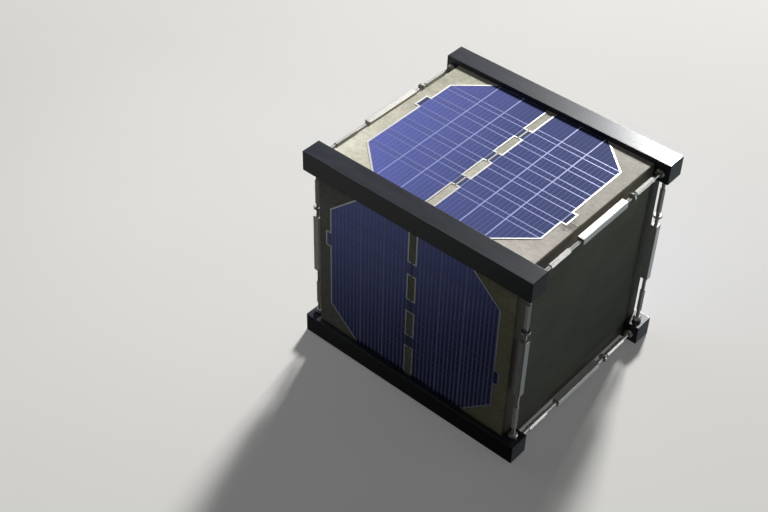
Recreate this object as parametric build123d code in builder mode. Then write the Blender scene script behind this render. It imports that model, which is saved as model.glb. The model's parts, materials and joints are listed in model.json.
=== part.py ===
from build123d import *
import os

os.makedirs("parts", exist_ok=True)

# ---------------------------------------------------------------------------
# One-unit cube satellite with wooden panels, millimetres.
# +X runs along the four rails, +Z is up. The origin is in the middle of the
# satellite's length and width, on the surface that its two lower rails rest on.
# ---------------------------------------------------------------------------

# overall size
LENGTH = 113.5                  # along the rails
WIDTH = 100.0                   # across the outer faces of the rails, Y and Z
ZC = WIDTH / 2                  # height of the long axis

# rails
RAIL = 9.5                      # side of the square section
RAIL_EDGE = 0.25                # rounding of the long edges
RAIL_END = 0.2                  # chamfer round each end
RAIL_IN = WIDTH / 2 - RAIL      # inner faces, from the long axis

# wooden panels
BOX_X0 = -50.0                  # outer face of the end panel at -X
BOX_X1 = 49.5                   # outer face of the end panel at +X
RECESS = 2.05                   # side panels lie this far below the rail faces
PANEL_OUT = WIDTH / 2 - RECESS  # outer face of a side panel, from the long axis
PANEL_T = PANEL_OUT - RAIL_IN   # thickness of every panel
PANEL_EDGE = 0.25               # broken outer edges
TONGUE_T = 2.6                  # tongues on the edges of the panels
TONGUE_D = 2.0
TONGUE_OUT = 3.0                # tongue's inner side, above the panel's inner face
END_TONGUE_OUT = 2.4            # end panel's tongue, below its outer face
FIT = 0.1                       # clearance of a groove round its tongue

# solar cells, two to each side panel, the same on all four
CELL_T = 0.15
CELL_CX = -0.25                 # middle of the pair, along X
CELL_HX = 43.5                  # half length of the pair
CELL_HY = 40.0                  # half width of the pair
CROP_X = 28.6                   # where a cropped corner meets the edge at +-Y
CROP_Y = 26.5                   # where it meets the edge at +-X
GAP = 1.65                      # half the strip between the two cells
TAB_Y0, TAB_Y1 = 5.8, 14.0      # contact tab outside the cell's long edge
TAB_X = 2.4
LINK_HALF = 3.8                 # half width of a link across the strip
LINK_PITCH = 20.05              # spacing of the three links
LINK_GAP = 0.25                 # half the joint between two links

# tie rods, two lying and two upright at each end
ROD_X0 = (BOX_X0 - LENGTH / 2) / 2      # midway along the bare rail ends
ROD_X1 = 53.0
ROD_OUT = 45.4                  # axis of an upper lying rod, from the long axis
ROD_OUT_LOW = 45.1              # axis of a lower lying rod
ROD_OUT_UP = 44.95              # axis of an upright rod
SLEEVE_HALF = 15.0              # square sleeve in the middle
SLEEVE_W = 3.1
SLEEVE_EDGE = 0.3               # rounding of its long edges
END_BEVEL = 0.25                # bevel round its ends
BORE_R = 0.82                   # through the sleeve
STUD_R = 0.72                   # threaded ends, in the rail and in the sleeve
STUD_IN = 3.2                   # into the rail
STUD_SLEEVE = 7.0               # into the sleeve
NECK_R = 0.78
HEX_AF = 2.1                    # hexagon across flats
HEX_BEVEL = 0.18                # bevel round its ends
HEX_S0, HEX_S1 = 22.0, 34.3     # hexagon, from the middle of the rod
SEAT_S0 = 38.2                  # where the ball-like seat starts
SEAT_S, SEAT_R = 39.45, 2.0     # its widest place
SEAT_FOOT = 1.5                 # its radius on the rail
DISC_R = 1.9                    # thin disc on the upper or rear half
DISC_S0, DISC_S1 = 19.2, 20.25
DISC_EDGE = 0.2

# equipment inside, one block from end panel to end panel
STACK = 66.0

# ---------------------------------------------------------------------------
# rails
# ---------------------------------------------------------------------------
# name, side in Y, side in Z
RAILS = [
    ("rail_front_lower", -1, -1),
    ("rail_front_upper", -1, 1),
    ("rail_rear_lower", 1, -1),
    ("rail_rear_upper", 1, 1),
]
RAIL_C = (RAIL_IN + WIDTH / 2) / 2          # middle of a rail's section
GROOVE_MID = RAIL_IN + TONGUE_OUT + TONGUE_T / 2
GROOVE_L = BOX_X1 - BOX_X0 + 2 * FIT
GROOVE_X = (BOX_X0 + BOX_X1) / 2

for rail_name, sy, sz in RAILS:
    with BuildPart() as rail:
        with BuildSketch(Plane.YZ.offset(-LENGTH / 2)):
            with Locations((sy * RAIL_C, ZC + sz * RAIL_C)):
                Rectangle(RAIL, RAIL)
        extrude(amount=LENGTH)
        fillet(rail.edges().filter_by(Axis.X), RAIL_EDGE)
        chamfer(rail.faces().sort_by(Axis.X)[-1].edges(), RAIL_END)
        chamfer(rail.faces().sort_by(Axis.X)[0].edges(), RAIL_END)
        # groove for the tongue of the upper or lower panel
        with BuildSketch(Plane.XZ.offset(-sy * RAIL_IN)):
            with Locations((GROOVE_X, ZC + sz * GROOVE_MID)):
                Rectangle(GROOVE_L, TONGUE_T + 2 * FIT)
        extrude(amount=-sy * (TONGUE_D + FIT), mode=Mode.SUBTRACT)
        # groove for the tongue of the front or rear panel
        with BuildSketch(Plane.XY.offset(ZC + sz * RAIL_IN)):
            with Locations((GROOVE_X, sy * GROOVE_MID)):
                Rectangle(GROOVE_L, TONGUE_T + 2 * FIT)
        extrude(amount=sz * (TONGUE_D + FIT), mode=Mode.SUBTRACT)
        # sockets for the lying tie rods
        rod_z = ZC + sz * (ROD_OUT if sz > 0 else ROD_OUT_LOW)
        with BuildSketch(Plane.XZ.offset(-sy * RAIL_IN)):
            with Locations((ROD_X0, rod_z), (ROD_X1, rod_z)):
                Circle(BORE_R)
        extrude(amount=-sy * (STUD_IN + FIT), mode=Mode.SUBTRACT)
        # sockets for the upright tie rods
        with BuildSketch(Plane.XY.offset(ZC + sz * RAIL_IN)):
            with Locations((ROD_X0, sy * ROD_OUT_UP), (ROD_X1, sy * ROD_OUT_UP)):
                Circle(BORE_R)
        extrude(amount=sz * (STUD_IN + FIT), mode=Mode.SUBTRACT)
    rail.part.label = rail_name
    export_step(rail.part, "parts/" + rail_name + ".step")

# ---------------------------------------------------------------------------
# side panels and their solar cells
# ---------------------------------------------------------------------------
# name, outward direction of the face (local +Z); local +X is the model's +X
SIDES = [
    ("top", (0, 0, 1)),
    ("front", (0, -1, 0)),
    ("bottom", (0, 0, -1)),
    ("rear", (0, 1, 0)),
]
MID_X = (BOX_X0 + BOX_X1) / 2
BOX_L = BOX_X1 - BOX_X0

for side, out in SIDES:
    face = Plane(origin=(0, 0, ZC), x_dir=(1, 0, 0), z_dir=out)
    with BuildPart() as panel:
        with BuildSketch(face.offset(RAIL_IN)):
            with Locations((MID_X, 0)):
                Rectangle(BOX_L, 2 * RAIL_IN)
        extrude(amount=PANEL_T)
        outer = panel.faces().sort_by(Axis(origin=(0, 0, ZC), direction=out))[-1]
        chamfer(outer.edges(), PANEL_EDGE)
        # tongues along the two edges that meet the rails
        with BuildSketch(face.offset(RAIL_IN + TONGUE_OUT)):
            with Locations((MID_X, 0)):
                Rectangle(BOX_L, 2 * (RAIL_IN + TONGUE_D))
        extrude(amount=TONGUE_T)
        # cross grooves for the tongues of the two end panels
        with BuildSketch(face.offset(RAIL_IN)):
            with Locations((BOX_X0 + END_TONGUE_OUT + TONGUE_T / 2, 0),
                           (BOX_X1 - END_TONGUE_OUT - TONGUE_T / 2, 0)):
                Rectangle(TONGUE_T + 2 * FIT, 2 * (RAIL_IN - 0.4))
        extrude(amount=TONGUE_D + FIT, mode=Mode.SUBTRACT)
    panel.part.label = "panel_" + side
    export_step(panel.part, "parts/panel_" + side + ".step")

    # the left cell is the right one turned half round, so side_x is -1 or 1
    for side_x, cell_side in ((-1, "left"), (1, "right")):
        with BuildPart() as cell:
            with BuildSketch(face.offset(PANEL_OUT)):
                with BuildLine():
                    Polyline(
                        (CELL_CX + side_x * GAP, -side_x * CELL_HY),
                        (CELL_CX + side_x * CROP_X, -side_x * CELL_HY),
                        (CELL_CX + side_x * CELL_HX, -side_x * CROP_Y),
                        (CELL_CX + side_x * CELL_HX, side_x * CROP_Y),
                        (CELL_CX + side_x * CROP_X, side_x * CELL_HY),
                        (CELL_CX + side_x * GAP, side_x * CELL_HY),
                        close=True,
                    )
                make_face()
                # contact tab beyond the long edge
                with Locations((CELL_CX + side_x * (CELL_HX + TAB_X / 2),
                                -side_x * (TAB_Y0 + TAB_Y1) / 2)):
                    Rectangle(TAB_X, TAB_Y1 - TAB_Y0)
                # three links that reach half way across the strip
                link_w = GAP - LINK_GAP
                with Locations((CELL_CX + side_x * (LINK_GAP + link_w / 2), 0)):
                    with GridLocations(1, LINK_PITCH, 1, 3):
                        Rectangle(link_w, 2 * LINK_HALF)
            extrude(amount=CELL_T)
        cell.part.label = "solar_cell_" + side + "_" + cell_side
        export_step(cell.part, "parts/solar_cell_" + side + "_" + cell_side + ".step")

# ---------------------------------------------------------------------------
# end panels
# ---------------------------------------------------------------------------
# name, outer face in X, outward direction in X
ENDS = [
    ("panel_end_left", BOX_X0, -1),
    ("panel_end_right", BOX_X1, 1),
]
for end_name, x_out, sx in ENDS:
    with BuildPart() as end:
        with BuildSketch(Plane.YZ.offset(x_out - sx * PANEL_T)):
            with Locations((0, ZC)):
                Rectangle(2 * RAIL_IN, 2 * RAIL_IN)
        extrude(amount=sx * PANEL_T)
        outer = end.faces().sort_by(Axis.X)[-1 if sx > 0 else 0]
        chamfer(outer.edges(), PANEL_EDGE)
        # tongues on all four edges
        with BuildSketch(Plane.YZ.offset(x_out - sx * (END_TONGUE_OUT + TONGUE_T))):
            with Locations((0, ZC)):
                Rectangle(2 * (RAIL_IN + TONGUE_D), 2 * (RAIL_IN - 0.5))
                Rectangle(2 * (RAIL_IN - 0.5), 2 * (RAIL_IN + TONGUE_D))
        extrude(amount=sx * TONGUE_T)
    end.part.label = end_name
    export_step(end.part, "parts/" + end_name + ".step")

# ---------------------------------------------------------------------------
# equipment inside: battery and circuit boards as one block between the ends
# ---------------------------------------------------------------------------
with BuildPart() as stack:
    with BuildSketch(Plane.YZ.offset(BOX_X0 + PANEL_T)):
        with Locations((0, ZC)):
            Rectangle(STACK, STACK)
    extrude(amount=BOX_L - 2 * PANEL_T)
stack.part.label = "equipment_block"
export_step(stack.part, "parts/equipment_block.step")

# ---------------------------------------------------------------------------
# tie rods: a square sleeve with a rod half screwed into each end
# ---------------------------------------------------------------------------
# name, X of the axis, side of the axis, direction of the rod
RODS = [
    ("top_left", ROD_X0, (0, 0, 1), (0, 1, 0)),
    ("top_right", ROD_X1, (0, 0, 1), (0, 1, 0)),
    ("bottom_left", ROD_X0, (0, 0, -1), (0, 1, 0)),
    ("bottom_right", ROD_X1, (0, 0, -1), (0, 1, 0)),
    ("front_left", ROD_X0, (0, -1, 0), (0, 0, 1)),
    ("front_right", ROD_X1, (0, -1, 0), (0, 0, 1)),
    ("rear_left", ROD_X0, (0, 1, 0), (0, 0, 1)),
    ("rear_right", ROD_X1, (0, 1, 0), (0, 0, 1)),
]
for rod_name, rod_x, away, along in RODS:
    lying = ROD_OUT if away[2] > 0 else ROD_OUT_LOW
    middle = (rod_x, away[1] * ROD_OUT_UP, ZC + away[2] * lying)
    axis = Plane(origin=middle, x_dir=(1, 0, 0), z_dir=along)

    with BuildPart() as sleeve:
        with BuildSketch(axis.offset(-SLEEVE_HALF)):
            RectangleRounded(SLEEVE_W, SLEEVE_W, SLEEVE_EDGE)
            Circle(BORE_R, mode=Mode.SUBTRACT)
        extrude(amount=2 * SLEEVE_HALF)
        ends = sleeve.faces().sort_by(Axis(origin=middle, direction=along))
        chamfer(ends[0].outer_wire().edges() + ends[-1].outer_wire().edges(), END_BEVEL)
    sleeve.part.label = "rod_sleeve_" + rod_name
    export_step(sleeve.part, "parts/rod_sleeve_" + rod_name + ".step")

    # the two halves; only the one towards +Y or +Z carries the thin disc
    for sign, half, disc in ((-1, "a", False), (1, "b", True)):
        d = tuple(sign * c for c in along)
        # across the rod: local X is the radius, local Y runs out along the half
        profile = Plane(origin=middle, x_dir=(1, 0, 0), z_dir=(0, -d[2], d[1]))
        start = Plane(origin=middle, x_dir=(1, 0, 0), z_dir=d)

        with BuildPart() as hexagon:
            with BuildSketch(start.offset(HEX_S0)):
                RegularPolygon(HEX_AF / 2, 6, major_radius=False)
            extrude(amount=HEX_S1 - HEX_S0)
            ends = hexagon.faces().sort_by(Axis(origin=middle, direction=d))
            chamfer(ends[0].edges() + ends[-1].edges(), HEX_BEVEL)

        if disc:
            collar = [
                (NECK_R, DISC_S0),
                (DISC_R - DISC_EDGE, DISC_S0), (DISC_R, DISC_S0 + DISC_EDGE),
                (DISC_R, DISC_S1 - DISC_EDGE), (DISC_R - DISC_EDGE, DISC_S1),
                (NECK_R, DISC_S1),
            ]
        else:
            collar = []

        with BuildPart() as rod:
            with BuildSketch(profile):
                with BuildLine():
                    # stud in the sleeve, neck with or without the disc
                    Polyline(
                        (0, SLEEVE_HALF - STUD_SLEEVE),
                        (STUD_R, SLEEVE_HALF - STUD_SLEEVE),
                        (STUD_R, SLEEVE_HALF),
                        (NECK_R, SLEEVE_HALF),
                        *collar,
                        (NECK_R, SEAT_S0),
                    )
                    # ball-like seat on the rail
                    ThreePointArc((NECK_R, SEAT_S0), (SEAT_R, SEAT_S), (SEAT_FOOT, RAIL_IN))
                    # stud in the rail
                    Polyline(
                        (SEAT_FOOT, RAIL_IN),
                        (STUD_R, RAIL_IN),
                        (STUD_R, RAIL_IN + STUD_IN),
                        (0, RAIL_IN + STUD_IN),
                        (0, SLEEVE_HALF - STUD_SLEEVE),
                    )
                make_face()
            revolve(axis=Axis(origin=middle, direction=d))
            add(hexagon.part)
        rod.part.label = "rod_" + rod_name + "_" + half
        export_step(rod.part, "parts/rod_" + rod_name + "_" + half + ".step")
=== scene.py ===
import json
import math

import bmesh
import bpy
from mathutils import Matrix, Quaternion, Vector

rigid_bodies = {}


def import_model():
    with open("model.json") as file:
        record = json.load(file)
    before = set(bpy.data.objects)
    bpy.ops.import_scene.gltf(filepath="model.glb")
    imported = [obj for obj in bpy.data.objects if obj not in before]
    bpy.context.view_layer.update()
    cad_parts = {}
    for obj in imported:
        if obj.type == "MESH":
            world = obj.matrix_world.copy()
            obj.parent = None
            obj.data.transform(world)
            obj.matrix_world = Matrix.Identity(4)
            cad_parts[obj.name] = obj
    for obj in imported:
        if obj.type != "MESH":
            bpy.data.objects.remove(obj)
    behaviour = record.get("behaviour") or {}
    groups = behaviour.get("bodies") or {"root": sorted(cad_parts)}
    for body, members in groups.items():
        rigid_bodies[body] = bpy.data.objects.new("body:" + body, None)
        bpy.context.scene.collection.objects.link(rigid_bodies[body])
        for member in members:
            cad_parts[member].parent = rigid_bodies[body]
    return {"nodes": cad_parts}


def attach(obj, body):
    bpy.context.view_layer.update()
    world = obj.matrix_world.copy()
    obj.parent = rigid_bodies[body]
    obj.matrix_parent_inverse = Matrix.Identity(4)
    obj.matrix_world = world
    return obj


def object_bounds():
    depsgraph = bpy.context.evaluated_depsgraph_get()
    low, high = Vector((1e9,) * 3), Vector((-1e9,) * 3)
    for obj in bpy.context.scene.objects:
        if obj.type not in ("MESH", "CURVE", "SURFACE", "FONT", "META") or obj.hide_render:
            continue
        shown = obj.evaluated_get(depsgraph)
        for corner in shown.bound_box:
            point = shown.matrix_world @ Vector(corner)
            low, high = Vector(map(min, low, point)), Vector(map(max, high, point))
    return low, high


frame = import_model()
nodes = frame["nodes"]
cad_lo, cad_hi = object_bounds()
cad_lo, cad_hi = list(cad_lo), list(cad_hi)
scene = bpy.context.scene

MM = 0.001

# the model's own dimensions, millimetres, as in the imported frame
ZC = 50.0                       # height of the long axis
PANEL_OUT = 47.95               # outer face of a side panel, from the long axis
CELL_OUT = 48.1                 # outer face of a solar cell
CELL_CX = -0.25                 # middle of a pair of cells, along X
CELL_HX, CELL_HY = 43.5, 40.0
CROP_X, CROP_Y = 28.6, 26.5
GAP = 1.65
TAB_Y0, TAB_Y1, TAB_X = 5.8, 14.0, 2.4
LINK_HALF, LINK_PITCH, LINK_GAP = 3.8, 20.05, 0.25

# printed grid on the cells, lines given by their middles, from the pair's middle
FRAME_W = 0.8                   # border round each cell
BUS_X = (14.55, 26.75)          # busbars, along the cell
PAIR_Y = (3.37, 6.68, 13.4, 16.65, 23.45, 26.4)   # lines across the cell
FINGER_PITCH = 2.03


# ---------------------------------------------------------------------------
# node helpers
# ---------------------------------------------------------------------------
def srgb(r, g, b):
    """0-255 display values to a linear colour."""
    def f(c):
        c /= 255.0
        return c / 12.92 if c <= 0.04045 else ((c + 0.055) / 1.055) ** 2.4
    return (f(r), f(g), f(b), 1.0)


class Mat:
    """A material with a few short calls for wiring its nodes."""

    def __init__(self, name):
        self.mat = bpy.data.materials.new(name)
        self.mat.use_nodes = True
        self.t = self.mat.node_tree
        self.t.nodes.clear()
        self.out = self.t.nodes.new("ShaderNodeOutputMaterial")
        self.bsdf = self.t.nodes.new("ShaderNodeBsdfPrincipled")
        self.link(self.bsdf.outputs["BSDF"], self.out.inputs["Surface"])
        tex = self.node("ShaderNodeTexCoord")
        scale = self.node("ShaderNodeVectorMath", operation="SCALE")
        self.link(tex.outputs["Object"], scale.inputs[0])
        scale.inputs["Scale"].default_value = 1000.0
        self.mm = scale.outputs["Vector"]        # object coordinates, millimetres
        self._sep = None

    def node(self, kind, **props):
        n = self.t.nodes.new(kind)
        for k, v in props.items():
            setattr(n, k, v)
        return n

    def link(self, a, b):
        self.t.links.new(a, b)

    def feed(self, socket, value):
        if isinstance(value, bpy.types.NodeSocket):
            self.link(value, socket)
        else:
            socket.default_value = value

    def xyz(self):
        if self._sep is None:
            s = self.node("ShaderNodeSeparateXYZ")
            self.link(self.mm, s.inputs[0])
            self._sep = (s.outputs["X"], s.outputs["Y"], s.outputs["Z"])
        return self._sep

    def stretch(self, sx, sy, sz, ox=0.0, oy=0.0, oz=0.0, source=None):
        m = self.node("ShaderNodeMapping")
        self.link(source if source is not None else self.mm, m.inputs["Vector"])
        m.inputs["Scale"].default_value = (sx, sy, sz)
        m.inputs["Location"].default_value = (ox, oy, oz)
        return m.outputs["Vector"]

    def noise(self, vec, scale=1.0, detail=3.0, rough=0.5, distortion=0.0):
        n = self.node("ShaderNodeTexNoise")
        self.link(vec, n.inputs["Vector"])
        n.inputs["Scale"].default_value = scale
        n.inputs["Detail"].default_value = detail
        n.inputs["Roughness"].default_value = rough
        n.inputs["Distortion"].default_value = distortion
        return n.outputs["Fac"]

    def math(self, op, a, b=0.0, c=0.0, clamp=False):
        n = self.node("ShaderNodeMath", operation=op)
        n.use_clamp = clamp
        self.feed(n.inputs[0], a)
        self.feed(n.inputs[1], b)
        self.feed(n.inputs[2], c)
        return n.outputs[0]

    def remap(self, value, a, b, c=0.0, d=1.0):
        n = self.node("ShaderNodeMapRange")
        n.clamp = True
        self.feed(n.inputs["Value"], value)
        n.inputs["From Min"].default_value = a
        n.inputs["From Max"].default_value = b
        n.inputs["To Min"].default_value = c
        n.inputs["To Max"].default_value = d
        return n.outputs["Result"]

    def mix(self, fac, a, b, blend="MIX"):
        n = self.node("ShaderNodeMix", data_type="RGBA", blend_type=blend)
        n.clamp_factor = True
        # the node keeps sockets of every data type; the colour ones are RGBA
        colours = [s for s in n.inputs if s.type == "RGBA"]
        self.feed([s for s in n.inputs if s.type == "VALUE"][0], fac)
        self.feed(colours[0], a)
        self.feed(colours[1], b)
        return [s for s in n.outputs if s.type == "RGBA"][0]

    def bump(self, height, distance, strength=1.0, normal=None):
        n = self.node("ShaderNodeBump")
        self.link(height, n.inputs["Height"])
        n.inputs["Distance"].default_value = distance
        n.inputs["Strength"].default_value = strength
        if normal is not None:
            self.link(normal, n.inputs["Normal"])
        return n.outputs["Normal"]

    def normal_abs(self, axis):
        g = self.node("ShaderNodeNewGeometry")
        s = self.node("ShaderNodeSeparateXYZ")
        self.link(g.outputs["Normal"], s.inputs[0])
        return self.math("ABSOLUTE", s.outputs[axis])

    def set(self, **values):
        for k, v in values.items():
            self.feed(self.bsdf.inputs[k.replace("_", " ")], v)


def dress(obj, *mats):
    obj.data.materials.clear()
    for m in mats:
        obj.data.materials.append(m)


# ---------------------------------------------------------------------------
# materials
# ---------------------------------------------------------------------------
def make_wood(name, grain_along):
    """Pale bare hardwood; the grain runs along X or Y. End grain is browner."""
    m = Mat(name)
    x, y, z = m.xyz()
    if grain_along == "X":
        def lay(along, across, *shift):
            return m.stretch(along, across, across, *shift)
        end_axis = "X"
    else:
        def lay(along, across, *shift):
            return m.stretch(across, along, across, *shift)
        end_axis = "Y"
    # growth bands and fine fibres, both drawn out along the grain
    bands = m.noise(lay(0.008, 0.15, 3.1, 7.7, 1.3), 1.0, 3.0, 0.55, 0.6)
    fibre = m.noise(lay(0.16, 1.9), 1.0, 3.0, 0.6, 0.2)
    pores = m.noise(lay(0.45, 5.0, 5.0, 2.0, 9.0), 1.0, 2.0, 0.5)
    # cloudy figure a few millimetres across
    figure = m.noise(lay(0.50, 0.66, 11.0, 4.0, 2.0), 1.0, 4.0, 0.65)
    smudge = m.noise(lay(0.035, 0.055, 2.0, 17.0, 4.0), 1.0, 3.0, 0.55)
    tint = m.noise(lay(0.17, 0.21, 1.0, 14.0, 6.0), 1.0, 2.0, 0.5)
    col = m.mix(m.remap(bands, 0.35, 0.65), srgb(214, 212, 192), srgb(198, 196, 176))
    col = m.mix(m.remap(tint, 0.48, 0.68, 0.0, 0.6), col, srgb(208, 198, 188))
    col = m.mix(m.remap(tint, 0.52, 0.32, 0.0, 0.6), col, srgb(198, 202, 176))
    if grain_along == "X":
        # painted light: greyer and darker towards +X, and a painted pool of light towards the corner at
        # -X and -Y
        col = m.mix(m.remap(x, -25.0, 44.0, 0.0, 0.75), col, srgb(193, 188, 181))
        pale = m.math("MULTIPLY", m.remap(x, -30.0, -47.0), m.remap(y, 18.0, -36.0))
        col = m.mix(m.math("MULTIPLY", pale, 0.85), col, srgb(238, 237, 220))
        # rosier at the corner at +X and -Y
        rosy = m.math("MULTIPLY", m.remap(x, 27.0, 45.0), m.remap(y, -20.0, -36.0))
        col = m.mix(m.math("MULTIPLY", rosy, 0.7), col, srgb(216, 206, 202))
        mottle = m.remap(figure, 0.3, 0.7, 0.82, 1.13)
    else:
        # painted shade: the end boards are coloured darker and greener, with a plainer figure
        col = m.mix(0.8, col, srgb(119, 130, 114))
        mottle = m.remap(figure, 0.3, 0.7, 0.92, 1.07)
    shade = m.math("ADD", mottle, m.remap(fibre, 0.3, 0.7, -0.06, 0.06))
    shade = m.math("MULTIPLY", shade, m.remap(smudge, 0.35, 0.62, 0.84, 1.05))
    shade = m.math("SUBTRACT", shade, m.remap(pores, 0.60, 0.75, 0.0, 0.12))
    if grain_along == "X":
        # painted light: the boards are lighter towards -Y and towards -X
        shade = m.math("MULTIPLY", shade, m.remap(y, -46.0, 46.0, 1.16, 0.88))
        shade = m.math("MULTIPLY", shade, m.remap(x, -50.0, 50.0, 1.06, 0.90))
        # between the cells one strip is lighter around y = -10, and the strip is darker towards +Y
        strip = m.remap(m.math("ABSOLUTE", m.math("SUBTRACT", x, CELL_CX)), 2.2, 1.8)
        slip = m.remap(m.math("ABSOLUTE", m.math("ADD", y, 10.0)), 8.5, 7.5, 0.0, 0.17)
        slip = m.math("SUBTRACT", slip, m.remap(y, 1.0, 24.0, 0.04, 0.12))
        shade = m.math("MULTIPLY", shade, m.math("ADD", 1.0, m.math("MULTIPLY", slip, strip)))
        # painted shade: the front board is darker
        shade = m.math("MULTIPLY", shade, m.remap(y, -46.6, -47.6, 1.0, 0.82))
        # a handling mark by the contact tab
        mark = m.node("ShaderNodeVectorMath", operation="DISTANCE")
        m.link(m.mm, mark.inputs[0])
        mark.inputs[1].default_value = (47.2, -13.0, ZC + PANEL_OUT)
        near = m.math("ADD", mark.outputs["Value"], m.remap(figure, 0.3, 0.7, -2.2, 2.2))
        shade = m.math("MULTIPLY", shade, m.remap(near, 1.0, 4.5, 0.42, 1.0))
    else:
        # painted shade and light: the end boards are darker towards the bottom and lighter near the top
        # towards +Y
        shade = m.math("MULTIPLY", shade, m.remap(z, 26.0, 84.0, 0.65, 0.92))
        lift = m.math("MULTIPLY", m.remap(z, 50.0, 88.0), m.remap(y, -30.0, 20.0))
        shade = m.math("MULTIPLY", shade, m.math("ADD", 1.0, m.math("MULTIPLY", lift, 0.26)))
    comb = m.node("ShaderNodeCombineColor")
    for k in range(3):
        m.link(shade, comb.inputs[k])
    col = m.mix(1.0, col, comb.outputs[0], "MULTIPLY")
    if grain_along == "X":
        # painted shade: the front board is darker and bluer at the left, more olive at the right, and
        # darker towards the bottom
        dull = m.mix(m.remap(x, -46.0, 0.0), (0.69, 0.69, 0.77, 1), (0.88, 0.95, 0.85, 1))
        dull = m.mix(m.remap(x, 0.0, 46.0), dull, (1.05, 1.12, 0.78, 1))
        rise = m.node("ShaderNodeCombineColor")
        for k in range(3):
            m.link(m.remap(z, 14.0, 86.0, 0.78, 1.18), rise.inputs[k])
        dull = m.mix(1.0, dull, rise.outputs[0], "MULTIPLY")
        dull = m.mix(m.remap(y, -46.6, -47.6), (1, 1, 1, 1), dull)
        col = m.mix(1.0, col, dull, "MULTIPLY")
    # end grain
    ring = m.noise(lay(0.02, 0.5), 1.0, 4.0, 0.6, 0.8)
    dots = m.noise(lay(0.3, 5.0), 1.0, 2.0, 0.5)
    end_col = m.mix(m.remap(ring, 0.35, 0.65), srgb(138, 135, 120), srgb(120, 116, 102))
    end_col = m.mix(m.remap(dots, 0.55, 0.75, 0.0, 0.5), end_col, srgb(92, 84, 72))
    if grain_along == "X":
        # painted shade and light on the end grain: greyer and darker on the boards at +Y, paler on the
        # upper board
        end_col = m.mix(m.remap(y, 39.0, 43.0), end_col, srgb(92, 99, 90))
        end_col = m.mix(m.remap(z, 88.0, 92.0, 0.0, 0.7), end_col, srgb(196, 189, 170))
        # painted shade: the end grain is darker towards -Y
        end_col = m.mix(m.remap(y, -14.0, -42.0, 0.0, 0.90), end_col, srgb(104, 100, 90))
    end = m.remap(m.normal_abs(end_axis), 0.75, 0.92)
    col = m.mix(end, col, end_col)
    m.set(Base_Color=col)
    m.set(Roughness=m.remap(fibre, 0.3, 0.7, 0.52, 0.68))
    m.set(Specular_IOR_Level=0.3)
    h = m.math("ADD", fibre, m.math("MULTIPLY", pores, 0.6))
    m.set(Normal=m.bump(h, 0.00005, 0.6))
    return m.mat


def make_rail(name):
    """Hard-anodised rail: near black, satin, edges rubbed a little brighter."""
    m = Mat(name)
    x, y, z = m.xyz()
    drawn = m.noise(m.stretch(0.03, 5.0, 5.0), 1.0, 3.0, 0.55)
    cloud = m.noise(m.stretch(0.06, 0.25, 0.25, 4.0, 1.0, 8.0), 1.0, 3.0, 0.5)
    specks = m.noise(m.stretch(1.6, 1.6, 1.6, 7.0, 3.0, 1.0), 1.0, 2.0, 0.6)
    col = m.mix(m.remap(cloud, 0.35, 0.65), srgb(61, 64, 72), srgb(53, 56, 64))
    col = m.mix(m.remap(drawn, 0.5, 0.75, 0.0, 0.3), col, srgb(68, 69, 73))
    # how near the point is to one of the long outer edges
    ay = m.math("ABSOLUTE", y)
    az = m.math("ABSOLUTE", m.math("SUBTRACT", z, 50.0))
    corner = m.math("MINIMUM", ay, az)
    edge = m.remap(corner, 49.45, 49.85)
    rub = m.math("MULTIPLY", edge, m.remap(cloud, 0.4, 0.62))
    col = m.mix(m.math("MULTIPLY", rub, 0.5), col, srgb(112, 113, 116))
    # painted light and shade: the flats are lighter at the -X end and darker towards +X, the end faces
    # darker
    up = m.normal_abs("Z")
    tone = m.math("ADD", 1.0, m.math("MULTIPLY", up, m.remap(x, -56.0, 40.0, 0.32, -0.22)))
    ends = m.remap(m.normal_abs("X"), 0.8, 0.95)
    tone = m.math("SUBTRACT", tone, m.math("MULTIPLY", ends, m.remap(y, -45.0, 45.0, 0.80, 0.30)))
    # and painted shade on the front faces, darkest on the lower rail
    front = m.math("MULTIPLY", m.remap(m.normal_abs("Y"), 0.8, 0.95), m.remap(y, -30.0, -40.0))
    tone = m.math("SUBTRACT", tone, m.math("MULTIPLY", front, m.remap(z, 10.0, 90.0, 0.80, 0.22)))
    film = m.node("ShaderNodeCombineColor")
    for k in range(3):
        m.link(tone, film.inputs[k])
    col = m.mix(1.0, col, film.outputs[0], "MULTIPLY")
    m.set(Base_Color=col)
    rough = m.math("ADD", m.remap(drawn, 0.3, 0.7, 0.19, 0.23),
                   m.remap(specks, 0.5, 0.8, 0.0, 0.03))
    rough = m.math("ADD", rough, m.remap(y, -35.0, 35.0, -0.018, 0.0))
    # the end faces are sawn and duller
    m.set(Roughness=m.math("ADD", rough, m.math("MULTIPLY", ends, m.remap(y, -45.0, 45.0, 0.36, 0.26))))
    m.set(Specular_IOR_Level=0.9, Specular_Tint=(0.91, 0.95, 1.0, 1))
    m.set(Normal=m.bump(m.math("ADD", drawn, m.math("MULTIPLY", specks, 0.3)), 0.000006, 0.4))
    return m.mat


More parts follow.
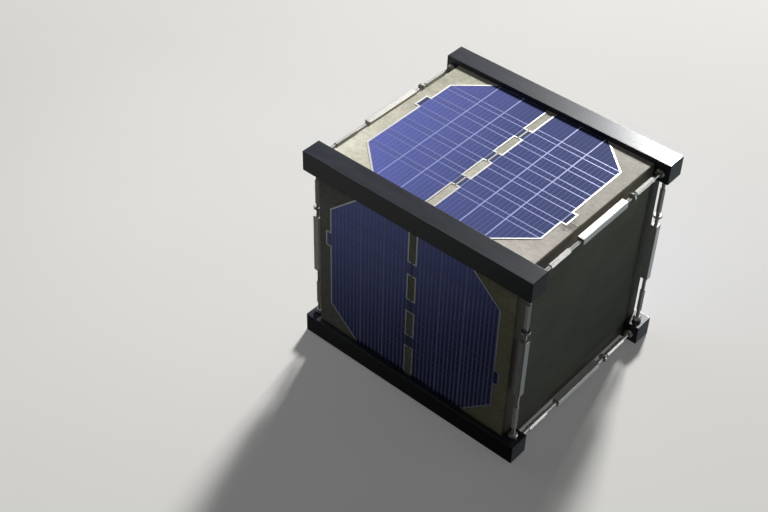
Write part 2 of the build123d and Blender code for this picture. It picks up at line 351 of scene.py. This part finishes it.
def make_steel(name, light, dark, rough, crown, flank, back=0.0, near=0.0):
    """Bead-blasted steel of the tie rods: pale, satin, faintly clouded."""
    m = Mat(name)
    marks = m.noise(m.stretch(2.2, 2.2, 2.2), 1.0, 3.0, 0.6)
    cloud = m.noise(m.stretch(0.35, 0.35, 0.35, 2.0, 2.0, 5.0), 1.0, 3.0, 0.5)
    col = m.mix(m.remap(cloud, 0.35, 0.65), light, dark)
    col = m.mix(m.remap(marks, 0.55, 0.8, 0.0, 0.4), col, (0.50, 0.50, 0.49, 1))
    # painted light and shade: flats that face along X are painted brighter, and level flats on the
    # upper rods painted darker towards +X
    col = m.mix(m.remap(m.normal_abs("X"), 0.8, 0.95, 0.0, 0.8), col, (0.95, 0.95, 0.93, 1))
    x, y, z = m.xyz()
    fall = m.math("MULTIPLY", m.remap(x, -50.0, 50.0, 0.06, 1.0 - crown), m.remap(z, 20.0, 80.0))
    fall = m.math("MULTIPLY", fall, m.remap(m.normal_abs("Z"), 0.8, 0.96))
    level = m.node("ShaderNodeCombineColor")
    for k in range(3):
        m.link(m.math("SUBTRACT", 1.0, fall), level.inputs[k])
    col = m.mix(1.0, col, level.outputs[0], "MULTIPLY")
    # painted light and shade: flats that face along Y are lighter or darker from rod to rod: left,
    # front right, rear right
    left, front, rear = flank
    tone = m.math("ADD", m.remap(x, -20.0, 50.0, left, 0.0),
                  m.math("MULTIPLY", m.remap(x, -20.0, 50.0), m.remap(y, -46.0, 46.0, front, rear)))
    tone = m.math("MULTIPLY", tone, m.remap(m.normal_abs("Y"), 0.8, 0.95))
    side = m.node("ShaderNodeCombineColor")
    for k in range(3):
        m.link(m.math("ADD", 1.0, tone), side.inputs[k])
    col = m.mix(1.0, col, side.outputs[0], "MULTIPLY")
    if back:
        # painted shade: the rear ends of the two upper lying rods are darker
        up = m.normal_abs("Z")
        ends = m.math("MAXIMUM", m.remap(up, 0.8, 0.96),
                      m.math("MULTIPLY", m.remap(x, -20.0, 50.0), m.remap(up, 0.3, 0.45)))
        ends = m.math("MULTIPLY", ends, m.math("MULTIPLY", m.remap(y, 8.0, 24.0),
                                               m.remap(z, 90.0, 93.0, 0.0, back)))
        dull = m.node("ShaderNodeCombineColor")
        for k in range(3):
            m.link(m.math("SUBTRACT", 1.0, ends), dull.inputs[k])
        col = m.mix(1.0, col, dull.outputs[0], "MULTIPLY")
    if near:
        # painted shade: the flat of the front right rod that faces along X is darker than the others
        end = m.math("MULTIPLY", m.remap(x, -20.0, 50.0), m.remap(y, -36.0, -42.0, 0.0, near))
        end = m.math("MULTIPLY", end, m.remap(m.normal_abs("X"), 0.8, 0.95))
        dim = m.node("ShaderNodeCombineColor")
        for k in range(3):
            m.link(m.math("SUBTRACT", 1.0, end), dim.inputs[k])
        col = m.mix(1.0, col, dim.outputs[0], "MULTIPLY")
    m.set(Base_Color=col, Metallic=1.0)
    m.set(Roughness=m.remap(marks, 0.3, 0.7, rough - 0.04, rough + 0.04))
    m.set(Normal=m.bump(marks, 0.000006, 0.3))
    return m.mat


def side_mask(m, side):
    """Local coordinates on one face: along the rails, and across it."""
    x, y, z = m.xyz()
    zc = m.math("SUBTRACT", z, ZC)
    across = {"top": y, "bottom": m.math("MULTIPLY", y, -1.0),
              "front": zc, "rear": m.math("MULTIPLY", zc, -1.0)}[side]
    return m.math("SUBTRACT", x, CELL_CX), across


def make_cell(name, side):
    """Blue-violet cell with an anti-reflection film and printed fingers."""
    m = Mat(name)
    u, v = side_mask(m, side)
    au = m.math("ABSOLUTE", u)
    av = m.math("ABSOLUTE", v)
    cloud = m.noise(m.stretch(0.045, 0.06, 0.06, 5.0, 3.0, 1.0), 1.0, 3.0, 0.5)
    grain = m.noise(m.stretch(1.4, 1.4, 1.4), 1.0, 3.0, 0.6)
    # lit and shaded copies: the top and rear cells are painted lighter than the front and bottom ones
    lit = side in ("top", "rear")
    if side == "rear":
        light, dark = (0.128, 0.155, 0.450, 1), (0.116, 0.141, 0.410, 1)
    elif lit:
        light, dark = (0.158, 0.190, 0.535, 1), (0.145, 0.175, 0.490, 1)
    else:
        light, dark = (0.088, 0.112, 0.410, 1), (0.079, 0.100, 0.370, 1)
    base = m.mix(m.remap(cloud, 0.35, 0.65), light, dark)
    # painted light: the cells are brighter and more violet at the -X end of the pair and duller at the
    # +X end
    base = m.mix(m.remap(u, -2.0, -42.0), base,
                 (0.236, 0.272, 0.880, 1) if side == "top" else (0.098, 0.124, 0.490, 1))
    base = m.mix(m.remap(u, 2.0, 42.0), base,
                 (0.118, 0.144, 0.355, 1) if lit else (0.085, 0.103, 0.310, 1))
    base = m.mix(m.remap(grain, 0.4, 0.7, 0.0, 0.25), base, (0.100, 0.122, 0.300, 1))
    # painted light and shade: lighter towards one long edge and darker towards the other, far more so
    # on the front and bottom cells
    ramp = m.node("ShaderNodeCombineColor")
    for k, (a, b) in enumerate(((1.12, 0.96), (1.12, 0.96), (1.10, 0.84)) if lit
                               else ((0.85, 1.27), (0.85, 1.27), (0.76, 1.92))):
        m.link(m.remap(v, -36.0, 36.0, a, b), ramp.inputs[k])
    base = m.mix(1.0, base, ramp.outputs[0], "MULTIPLY")
    # fingers: thin light lines at an even pitch from the strip outwards
    ph = m.math("DIVIDE", m.math("SUBTRACT", au, 2.05), FINGER_PITCH)
    d = m.math("ABSOLUTE", m.math("SUBTRACT", ph, m.math("ROUND", ph)))
    line = m.remap(m.math("MULTIPLY", d, FINGER_PITCH), 0.26 if lit else 0.55, 0.06)
    # the fingers fade next to the rail at +Y or +Z
    fade = m.remap(v, 25.5, 27.5, 1.0, 0.55)
    finger = m.math("MULTIPLY", line, fade)
    # on the front and bottom the fingers are painted paler and stronger, a painted reflection
    finger_col = (0.36, 0.42, 0.92, 1) if lit else (0.62, 0.68, 1.0, 1)
    finger = m.math("MULTIPLY", finger, m.remap(u, -42.0, 42.0, 0.50, 0.43) if lit
                    else m.remap(u, -42.0, 42.0, 0.85, 1.0))
    base = m.mix(finger, base, finger_col)
    # slate tint between the line pairs and in the links and the contact tab
    pair = None
    for a, b in ((PAIR_Y[0], PAIR_Y[1]), (PAIR_Y[2], PAIR_Y[3]), (PAIR_Y[4], PAIR_Y[5])):
        mid, half = (a + b) / 2, (b - a) / 2
        p = m.remap(m.math("ABSOLUTE", m.math("SUBTRACT", av, mid)), half, half - 0.25)
        pair = p if pair is None else m.math("MAXIMUM", pair, p)
    base = m.mix(m.math("MULTIPLY", pair, 0.08), base, (0.095, 0.125, 0.20, 1))
    link = m.remap(au, 2.0, 1.7)
    tab = m.remap(au, CELL_HX - 0.3, CELL_HX)
    base = m.mix(m.math("MULTIPLY", tab, 0.8), base, (0.098, 0.115, 0.178, 1))
    base = m.mix(m.math("MULTIPLY", link, 0.8), base, (0.150, 0.165, 0.245, 1))
    # painted shadow along one edge, next to the rail
    rail_shadow_paint = m.node("ShaderNodeCombineColor")
    for k in range(3):
        m.link(m.remap(v, 37.4, 38.2, 1.0, 0.45) if lit else
               m.remap(v, -37.2, -39.3, 1.0, 0.40), rail_shadow_paint.inputs[k])
    base = m.mix(1.0, base, rail_shadow_paint.outputs[0], "MULTIPLY")
    m.set(Base_Color=base, Metallic=0.0)
    m.set(Roughness=m.remap(grain, 0.3, 0.7, 0.06, 0.10))
    # silicon under its film mirrors blue far more than red
    if lit:
        m.set(IOR=3.4, Specular_Tint=(0.44, 0.52, 1.0, 1))
    else:
        m.set(IOR=4.2, Specular_Tint=(0.385, 0.44, 1.0, 1))
    m.set(Normal=m.bump(line, 0.000006, 0.4))
    return m.mat


def make_silver(name, bright, rough, metallic, light_falloff=0.0):
    """Printed silver of the cell borders and bars, slightly uneven."""
    m = Mat(name)
    n1 = m.noise(m.stretch(1.2, 1.2, 1.2), 1.0, 3.0, 0.6)
    n2 = m.noise(m.stretch(0.12, 0.12, 0.12, 3.0, 1.0, 2.0), 1.0, 2.0, 0.5)
    r, g, b = bright
    col = m.mix(m.remap(n1, 0.4, 0.75, 0.0, 0.5), (r, g, b, 1),
                (r * 0.86, g * 0.86, b * 0.88, 1))
    col = m.mix(m.remap(n2, 0.4, 0.7, 0.0, 0.4), col, (r * 0.93, g * 0.93, b * 0.97, 1))
    if light_falloff:
        # painted light: the print is darker or brighter from the strip onwards than at the -X end
        grey = m.node("ShaderNodeCombineColor")
        for k in range(3):
            m.link(m.remap(m.xyz()[0], -44.0, -3.0, 1.0, 1.0 - light_falloff), grey.inputs[k])
        col = m.mix(1.0, col, grey.outputs[0], "MULTIPLY")
    m.set(Base_Color=col, Metallic=metallic)
    m.set(Roughness=m.remap(n1, 0.3, 0.7, rough - 0.04, rough + 0.05))
    m.set(Normal=m.bump(n1, 0.00001, 0.4))
    return m.mat


def make_block(name):
    m = Mat(name)
    n = m.noise(m.stretch(0.4, 0.4, 0.4), 1.0, 3.0, 0.5)
    m.set(Base_Color=m.mix(n, (0.10, 0.16, 0.10, 1), (0.05, 0.09, 0.06, 1)))
    m.set(Roughness=m.remap(n, 0.3, 0.7, 0.45, 0.6))
    return m.mat


wood = make_wood("wood_bare", "X")
wood_end = make_wood("wood_bare_end", "Y")
rail = make_rail("rail_hard_anodised")
steel = make_steel("steel_sleeve", (0.86, 0.86, 0.84, 1), (0.78, 0.78, 0.765, 1), 0.52, 0.92,
                   (0.14, -0.28, 0.14), 0.0, 0.28)
steel_rod = make_steel("steel_rod", (0.80, 0.80, 0.785, 1), (0.71, 0.71, 0.70, 1), 0.50, 0.42,
                       (-0.18, 0.10, 0.22), 0.27)
# lit and shaded copies: the prints on the top and rear cells take the top set, those on the front and
# bottom the front set; the front interconnect is painted dark as painted shade
silver = {
    "top": make_silver("cell_border_silver", (0.98, 0.985, 1.0), 0.34, 0.45, 0.35),
    "front": make_silver("cell_border_silver_dim", (0.90, 0.92, 1.0), 0.23, 0.95),
}
bus_line = {
    "top": make_silver("cell_busbar_silver", (0.33, 0.40, 0.79), 0.30, 0.0, -0.20),
    "front": make_silver("cell_busbar_silver_dim", (0.44, 0.48, 0.92), 0.24, 0.5),
}
pair_line = {
    "top": make_silver("cell_line_silver", (0.22, 0.265, 0.57), 0.32, 0.12, -0.15),
    "front": make_silver("cell_line_silver_dim", (0.25, 0.28, 0.65), 0.24, 0.4),
}
link_strip = {
    "top": make_silver("cell_interconnect_grey", (0.55, 0.56, 0.62), 0.35, 0.1),
    "front": make_silver("cell_interconnect_shaded", (0.12, 0.13, 0.20), 0.35, 0.1),
}
cells = {s: make_cell("cell_" + s, s) for s in ("top", "front", "bottom", "rear")}
block = make_block("equipment_grey_green")

for name, o in nodes.items():
    if name.startswith("rail_"):
        dress(o, rail)
    elif name.startswith("panel_"):
        dress(o, wood_end if "_end_" in name else wood)
    elif name.startswith("solar_cell_"):
        dress(o, cells[name.split("_")[2]])
    elif name.startswith("rod_"):
        dress(o, steel if name.startswith("rod_sleeve_") else steel_rod)
    else:
        dress(o, block)


# ---------------------------------------------------------------------------
# printed grid on the cells
# ---------------------------------------------------------------------------
SIDES = {
    "top": Vector((0, 0, 1)),
    "front": Vector((0, -1, 0)),
    "bottom": Vector((0, 0, -1)),
    "rear": Vector((0, 1, 0)),
}


def place(side, u, v, w):
    """Local millimetres on a face to metres: u along X, v across, w outwards."""
    out = SIDES[side]
    across = out.cross(Vector((1, 0, 0)))
    p = Vector((0, 0, ZC)) + Vector((1, 0, 0)) * (CELL_CX + u) + across * v + out * w
    return p * MM


def offset_path(pts, dist):
    """The open path moved sideways by dist, with mitred corners."""
    n = len(pts)
    res = []
    for i, p in enumerate(pts):
        p = Vector(p)
        dirs = []
        if i > 0:
            dirs.append((p - Vector(pts[i - 1])).normalized())
        if i < n - 1:
            dirs.append((Vector(pts[i + 1]) - p).normalized())
        normals = [Vector((-d.y, d.x)) for d in dirs]
        if len(normals) == 1:
            res.append(p + normals[0] * dist)
        else:
            bis = (normals[0] + normals[1]).normalized()
            res.append(p + bis * (dist / max(0.3, bis.dot(normals[0]))))
    return res


def band(bm, side, pts, width, w0, w1, bevel=0.0):
    """A closed flat strip along a path; its upper long edges can be bevelled."""
    rows = []
    prof = [(-width / 2, w0), (-width / 2, w1 - bevel), (-width / 2 + bevel, w1),
            (width / 2 - bevel, w1), (width / 2, w1 - bevel), (width / 2, w0)]
    if bevel == 0.0:
        prof = [(-width / 2, w0), (-width / 2, w1), (width / 2, w1), (width / 2, w0)]
    lanes = [offset_path(pts, d) for d, _ in prof]
    for i in range(len(pts)):
        rows.append([bm.verts.new(place(side, lane[i].x, lane[i].y, h))
                     for lane, (_, h) in zip(lanes, prof)])
    k = len(prof)
    for a, b in zip(rows[:-1], rows[1:]):
        for j in range(k):
            bm.faces.new((a[j], a[(j + 1) % k], b[(j + 1) % k], b[j]))
    bm.faces.new(rows[0])
    bm.faces.new(list(reversed(rows[-1])))


def finish_mesh(name, bm, mat):
    bmesh.ops.recalc_face_normals(bm, faces=bm.faces)
    mesh = bpy.data.meshes.new(name)
    bm.to_mesh(mesh)
    bm.free()
    o = bpy.data.objects.new(name, mesh)
    scene.collection.objects.link(o)
    dress(o, mat)
    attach(o, "root")
    return o


H = FRAME_W / 2
for side in SIDES:
    for sx, lr in ((-1, "left"), (1, "right")):
        # the right cell's shape is written out; the left one is it turned half round
        def turn(pts):
            return [(sx * a, sx * b) for a, b in pts]

        bm = bmesh.new()
        # border along the outer edge, round the contact tab
        hx, tab = CELL_HX - H, CELL_HX - H + TAB_X
        run = (CELL_HX - CROP_X, CELL_HY - CROP_Y)
        ln = math.hypot(*run)
        nx, ny = run[1] / ln, run[0] / ln
        # the cropped edge moved in by half the border's width
        cx0, cy0 = CROP_X - nx * H, CELL_HY - ny * H
        slope = -run[1] / run[0]
        y_at = lambda xx: cy0 + (xx - cx0) * slope
        x_at = lambda yy: cx0 + (yy - cy0) / slope
        outer = [
            (x_at(CELL_HY - 0.05), -(CELL_HY - 0.05)),
            (hx, -y_at(hx)),
            (hx, -TAB_Y1 + H), (tab, -TAB_Y1 + H),
            (tab, -TAB_Y0 - H), (hx, -TAB_Y0 - H),
            (hx, y_at(hx)),
            (x_at(CELL_HY - 0.05), CELL_HY - 0.05),
        ]
        band(bm, side, turn(outer), FRAME_W, PANEL_OUT + 0.005, CELL_OUT + 0.06, 0.05)
        # border along the strip, turning in at every link
        gx, lx = GAP + H, LINK_GAP + 0.06
        stops = [-(CELL_HY - 0.05)]
        for k in (-1, 0, 1):
            stops += [k * LINK_PITCH - LINK_HALF + H, k * LINK_PITCH + LINK_HALF - H]
        stops.append(CELL_HY - 0.05)
        for k in range(0, len(stops), 2):
            a, b = stops[k], stops[k + 1]
            pts = [(gx, a), (gx, b)]
            if k > 0:
                pts = [(lx, a)] + pts
            if k + 2 < len(stops):
                pts = pts + [(lx, b)]
            band(bm, side, turn(pts), FRAME_W, CELL_OUT - 0.02, CELL_OUT + 0.06, 0.05)
        look = "top" if side in ("top", "rear") else "front"
        finish_mesh("cell_border_%s_%s" % (side, lr), bm, silver[look])

        bm = bmesh.new()
        top = CELL_HY - 0.05
        # busbars, cut back where the corner is cropped
        for bx in BUS_X:
            y = min(top, y_at(bx) - H)
            band(bm, side, turn([(bx, -y), (bx, y)]), 0.50, CELL_OUT - 0.02, CELL_OUT + 0.035)
        finish_mesh("cell_busbars_%s_%s" % (side, lr), bm, bus_line[look])

        bm = bmesh.new()
        # line pairs across the cell
        for py in PAIR_Y:
            for s in (-1, 1):
                end = hx - H if py < CROP_Y - 0.4 else min(hx - H, x_at(py) - H)
                band(bm, side, turn([(gx + H, s * py), (end, s * py)]), 0.42,
                     CELL_OUT - 0.02, CELL_OUT + 0.025)
        # thin lines that carry the strip's edge over each link, and close the tab
        for k in (-1, 0, 1):
            c = k * LINK_PITCH
            band(bm, side, turn([(gx, c - LINK_HALF + 2 * H), (gx, c + LINK_HALF - 2 * H)]), 0.34,
                 CELL_OUT - 0.02, CELL_OUT + 0.025)
        band(bm, side, turn([(hx, -TAB_Y1 + 2 * H), (hx, -TAB_Y0 - 2 * H)]), 0.3,
             CELL_OUT - 0.02, CELL_OUT + 0.025)
        finish_mesh("cell_lines_%s_%s" % (side, lr), bm, pair_line[look])

    # grey interconnect strips where the two cells meet
    bm = bmesh.new()
    for k in (-1, 0, 1):
        c = k * LINK_PITCH
        band(bm, side, [(0.0, c - LINK_HALF + 2 * H), (0.0, c + LINK_HALF - 2 * H)], 0.62,
             PANEL_OUT + 0.005, CELL_OUT + 0.03)
    finish_mesh("cell_interconnects_%s" % side, bm, link_strip[look])

# ---------------------------------------------------------------------------
# floor, light, camera
# ---------------------------------------------------------------------------
bm = bmesh.new()
bmesh.ops.create_grid(bm, x_segments=8, y_segments=8, size=3.0)
floor_mesh = bpy.data.meshes.new("floor")
bm.to_mesh(floor_mesh)
bm.free()
floor = bpy.data.objects.new("floor", floor_mesh)
scene.collection.objects.link(floor)
fm = Mat("floor_pale")
fn = fm.noise(fm.stretch(0.01, 0.01, 0.01), 1.0, 2.0, 0.5)
fm.set(Base_Color=fm.mix(fn, (0.74, 0.74, 0.73, 1), (0.78, 0.78, 0.77, 1)), Roughness=0.9)
fm.set(Emission_Color=(1.0, 1.0, 0.99, 1), Emission_Strength=0.10)
dress(floor, fm.mat)
# the floor is only a backdrop: the fill that reaches the object is the world's
floor.visible_diffuse = False
floor.visible_glossy = False


def area_light(name, direction, distance, size, power, color=(1, 1, 1), target=(0, 0, 0.05)):
    d = Vector(direction).normalized()
    data = bpy.data.lights.new(name, "AREA")
    data.shape = "ELLIPSE"
    data.size, data.size_y = size
    data.energy = power
    data.color = color
    o = bpy.data.objects.new(name, data)
    scene.collection.objects.link(o)
    o.location = Vector(target) + d * distance
    o.rotation_mode = "QUATERNION"
    o.rotation_quaternion = d.to_track_quat("Z", "Y")
    return o


key = area_light("key", (-0.27, 0.81, 0.52), 2.6, (0.41, 0.41), 82.0, (1.0, 0.985, 0.95))
key_steel = area_light("key_steel", (-0.27, 0.81, 0.52), 2.6, (0.41, 0.41), 30.0,
                       (1.0, 0.985, 0.95))
area_light("near_left", (-0.20, -0.045, 0.15), 0.26, (0.06, 0.06), 0.045, (1.0, 0.985, 0.96))

# a narrow soft spot from the key's side lifts the top near its -X, -Y corner
spot = bpy.data.lights.new("key_left", "SPOT")
spot.energy = 210.0
spot.spot_size = math.radians(4.6)
spot.spot_blend = 1.0
spot.shadow_soft_size = 0.2
spot.color = (1.0, 0.985, 0.95)
spot_obj = bpy.data.objects.new("key_left", spot)
scene.collection.objects.link(spot_obj)
spot_dir = Vector((-0.27, 0.81, 0.52)).normalized()
spot_obj.location = Vector((-0.055, -0.055, 0.1)) + spot_dir * 2.6
spot_obj.rotation_mode = "QUATERNION"
spot_obj.rotation_quaternion = spot_dir.to_track_quat("Z", "Y")

# the same again for the steel rods at that end
spot_steel = bpy.data.lights.new("key_left_steel", "SPOT")
spot_steel.energy = 300.0
spot_steel.spot_size = math.radians(4.6)
spot_steel.spot_blend = 1.0
spot_steel.shadow_soft_size = 0.2
spot_steel.color = (1.0, 0.985, 0.95)
spot_steel_obj = bpy.data.objects.new("key_left_steel", spot_steel)
scene.collection.objects.link(spot_steel_obj)
spot_steel_obj.location = spot_obj.location.copy()
spot_steel_obj.rotation_mode = "QUATERNION"
spot_steel_obj.rotation_quaternion = spot_obj.rotation_quaternion.copy()

# the bright steel rods take the weaker key light, everything else the full one
bare_steel = bpy.data.collections.new("bare_steel")
all_else = bpy.data.collections.new("all_else")
for o in scene.objects:
    if o.type == "MESH":
        (bare_steel if o.name.startswith("rod_") else all_else).objects.link(o)
key.light_linking.receiver_collection = all_else
key_steel.light_linking.receiver_collection = bare_steel
spot_steel_obj.light_linking.receiver_collection = bare_steel

# weak fill for the two rods at the right end that the panels shade: rod, direction, power
for rod, toward, power in (("bottom_right", (0.25, 0.30, 0.92), 2.3),
                           ("rear_right", (0.35, -0.93, 0.10), 3.8)):
    fill = area_light("fill_" + rod, toward, 2.6, (0.41, 0.41), power, (1.0, 0.985, 0.95))
    only = bpy.data.collections.new("lit_" + rod)
    for o in scene.objects:
        if o.type == "MESH" and o.name.startswith(("rod_" + rod, "rod_sleeve_" + rod)):
            only.objects.link(o)
    fill.light_linking.receiver_collection = only

# dim surroundings with soft glows: low at the front left, low at the back right,
# a wide faint one and a narrow one at the right, one level at the back right and a
# faint one overhead
world = bpy.data.worlds.new("studio")
scene.world = world
world.use_nodes = True
wt = world.node_tree
wt.nodes.clear()
w_out = wt.nodes.new("ShaderNodeOutputWorld")
w_bg = wt.nodes.new("ShaderNodeBackground")
wt.links.new(w_bg.outputs["Background"], w_out.inputs["Surface"])
w_tex = wt.nodes.new("ShaderNodeTexCoord")
colour = None
for centre, inner, outer, glow in (
        ((-0.604, -0.720, -0.342), 16.5, 27.0, (0.215, 0.22, 0.195)),
        ((0.224, 0.8365, -0.500), 10.0, 32.0, (0.46, 0.53, 0.56)),
        ((0.920, 0.100, -0.380), 25.0, 68.0, (0.042, 0.042, 0.039)),
        ((0.750, 0.660, -0.030), 5.0, 17.0, (3.50, 3.50, 3.50)),
        ((0.771, 0.180, -0.611), 5.0, 21.0, (0.24, 0.24, 0.24)),
        ((0.300, -0.100, 0.949), 10.0, 45.0, (0.12, 0.12, 0.12))):
    dot = wt.nodes.new("ShaderNodeVectorMath")
    dot.operation = "DOT_PRODUCT"
    wt.links.new(w_tex.outputs["Generated"], dot.inputs[0])
    dot.inputs[1].default_value = centre
    edge = wt.nodes.new("ShaderNodeMapRange")
    edge.interpolation_type = "SMOOTHSTEP"
    wt.links.new(dot.outputs["Value"], edge.inputs["Value"])
    edge.inputs["From Min"].default_value = math.cos(math.radians(outer))
    edge.inputs["From Max"].default_value = math.cos(math.radians(inner))
    lit = wt.nodes.new("ShaderNodeVectorMath")
    lit.operation = "SCALE"
    lit.inputs[0].default_value = glow
    wt.links.new(edge.outputs["Result"], lit.inputs["Scale"])
    add = wt.nodes.new("ShaderNodeVectorMath")
    add.operation = "ADD"
    if colour is None:
        add.inputs[0].default_value = (0.010, 0.010, 0.012)
    else:
        wt.links.new(colour, add.inputs[0])
    wt.links.new(lit.outputs["Vector"], add.inputs[1])
    colour = add.outputs["Vector"]
wt.links.new(colour, w_bg.inputs["Color"])
w_bg.inputs["Strength"].default_value = 1.0

cam_data = bpy.data.cameras.new("camera")
cam_data.sensor_fit = "HORIZONTAL"
cam_data.sensor_width = 36.0
cam_data.lens = 64.952
cam_data.clip_start = 0.01
cam_data.clip_end = 50.0
cam = bpy.data.objects.new("camera", cam_data)
scene.collection.objects.link(cam)
cam.location = (0.246922, -0.357129, 0.439212)
cam.rotation_mode = "QUATERNION"
cam.rotation_quaternion = Quaternion((0.8552581, 0.3800630, 0.1337713, 0.3258695))
scene.camera = cam
scene.view_settings.view_transform = "Standard"
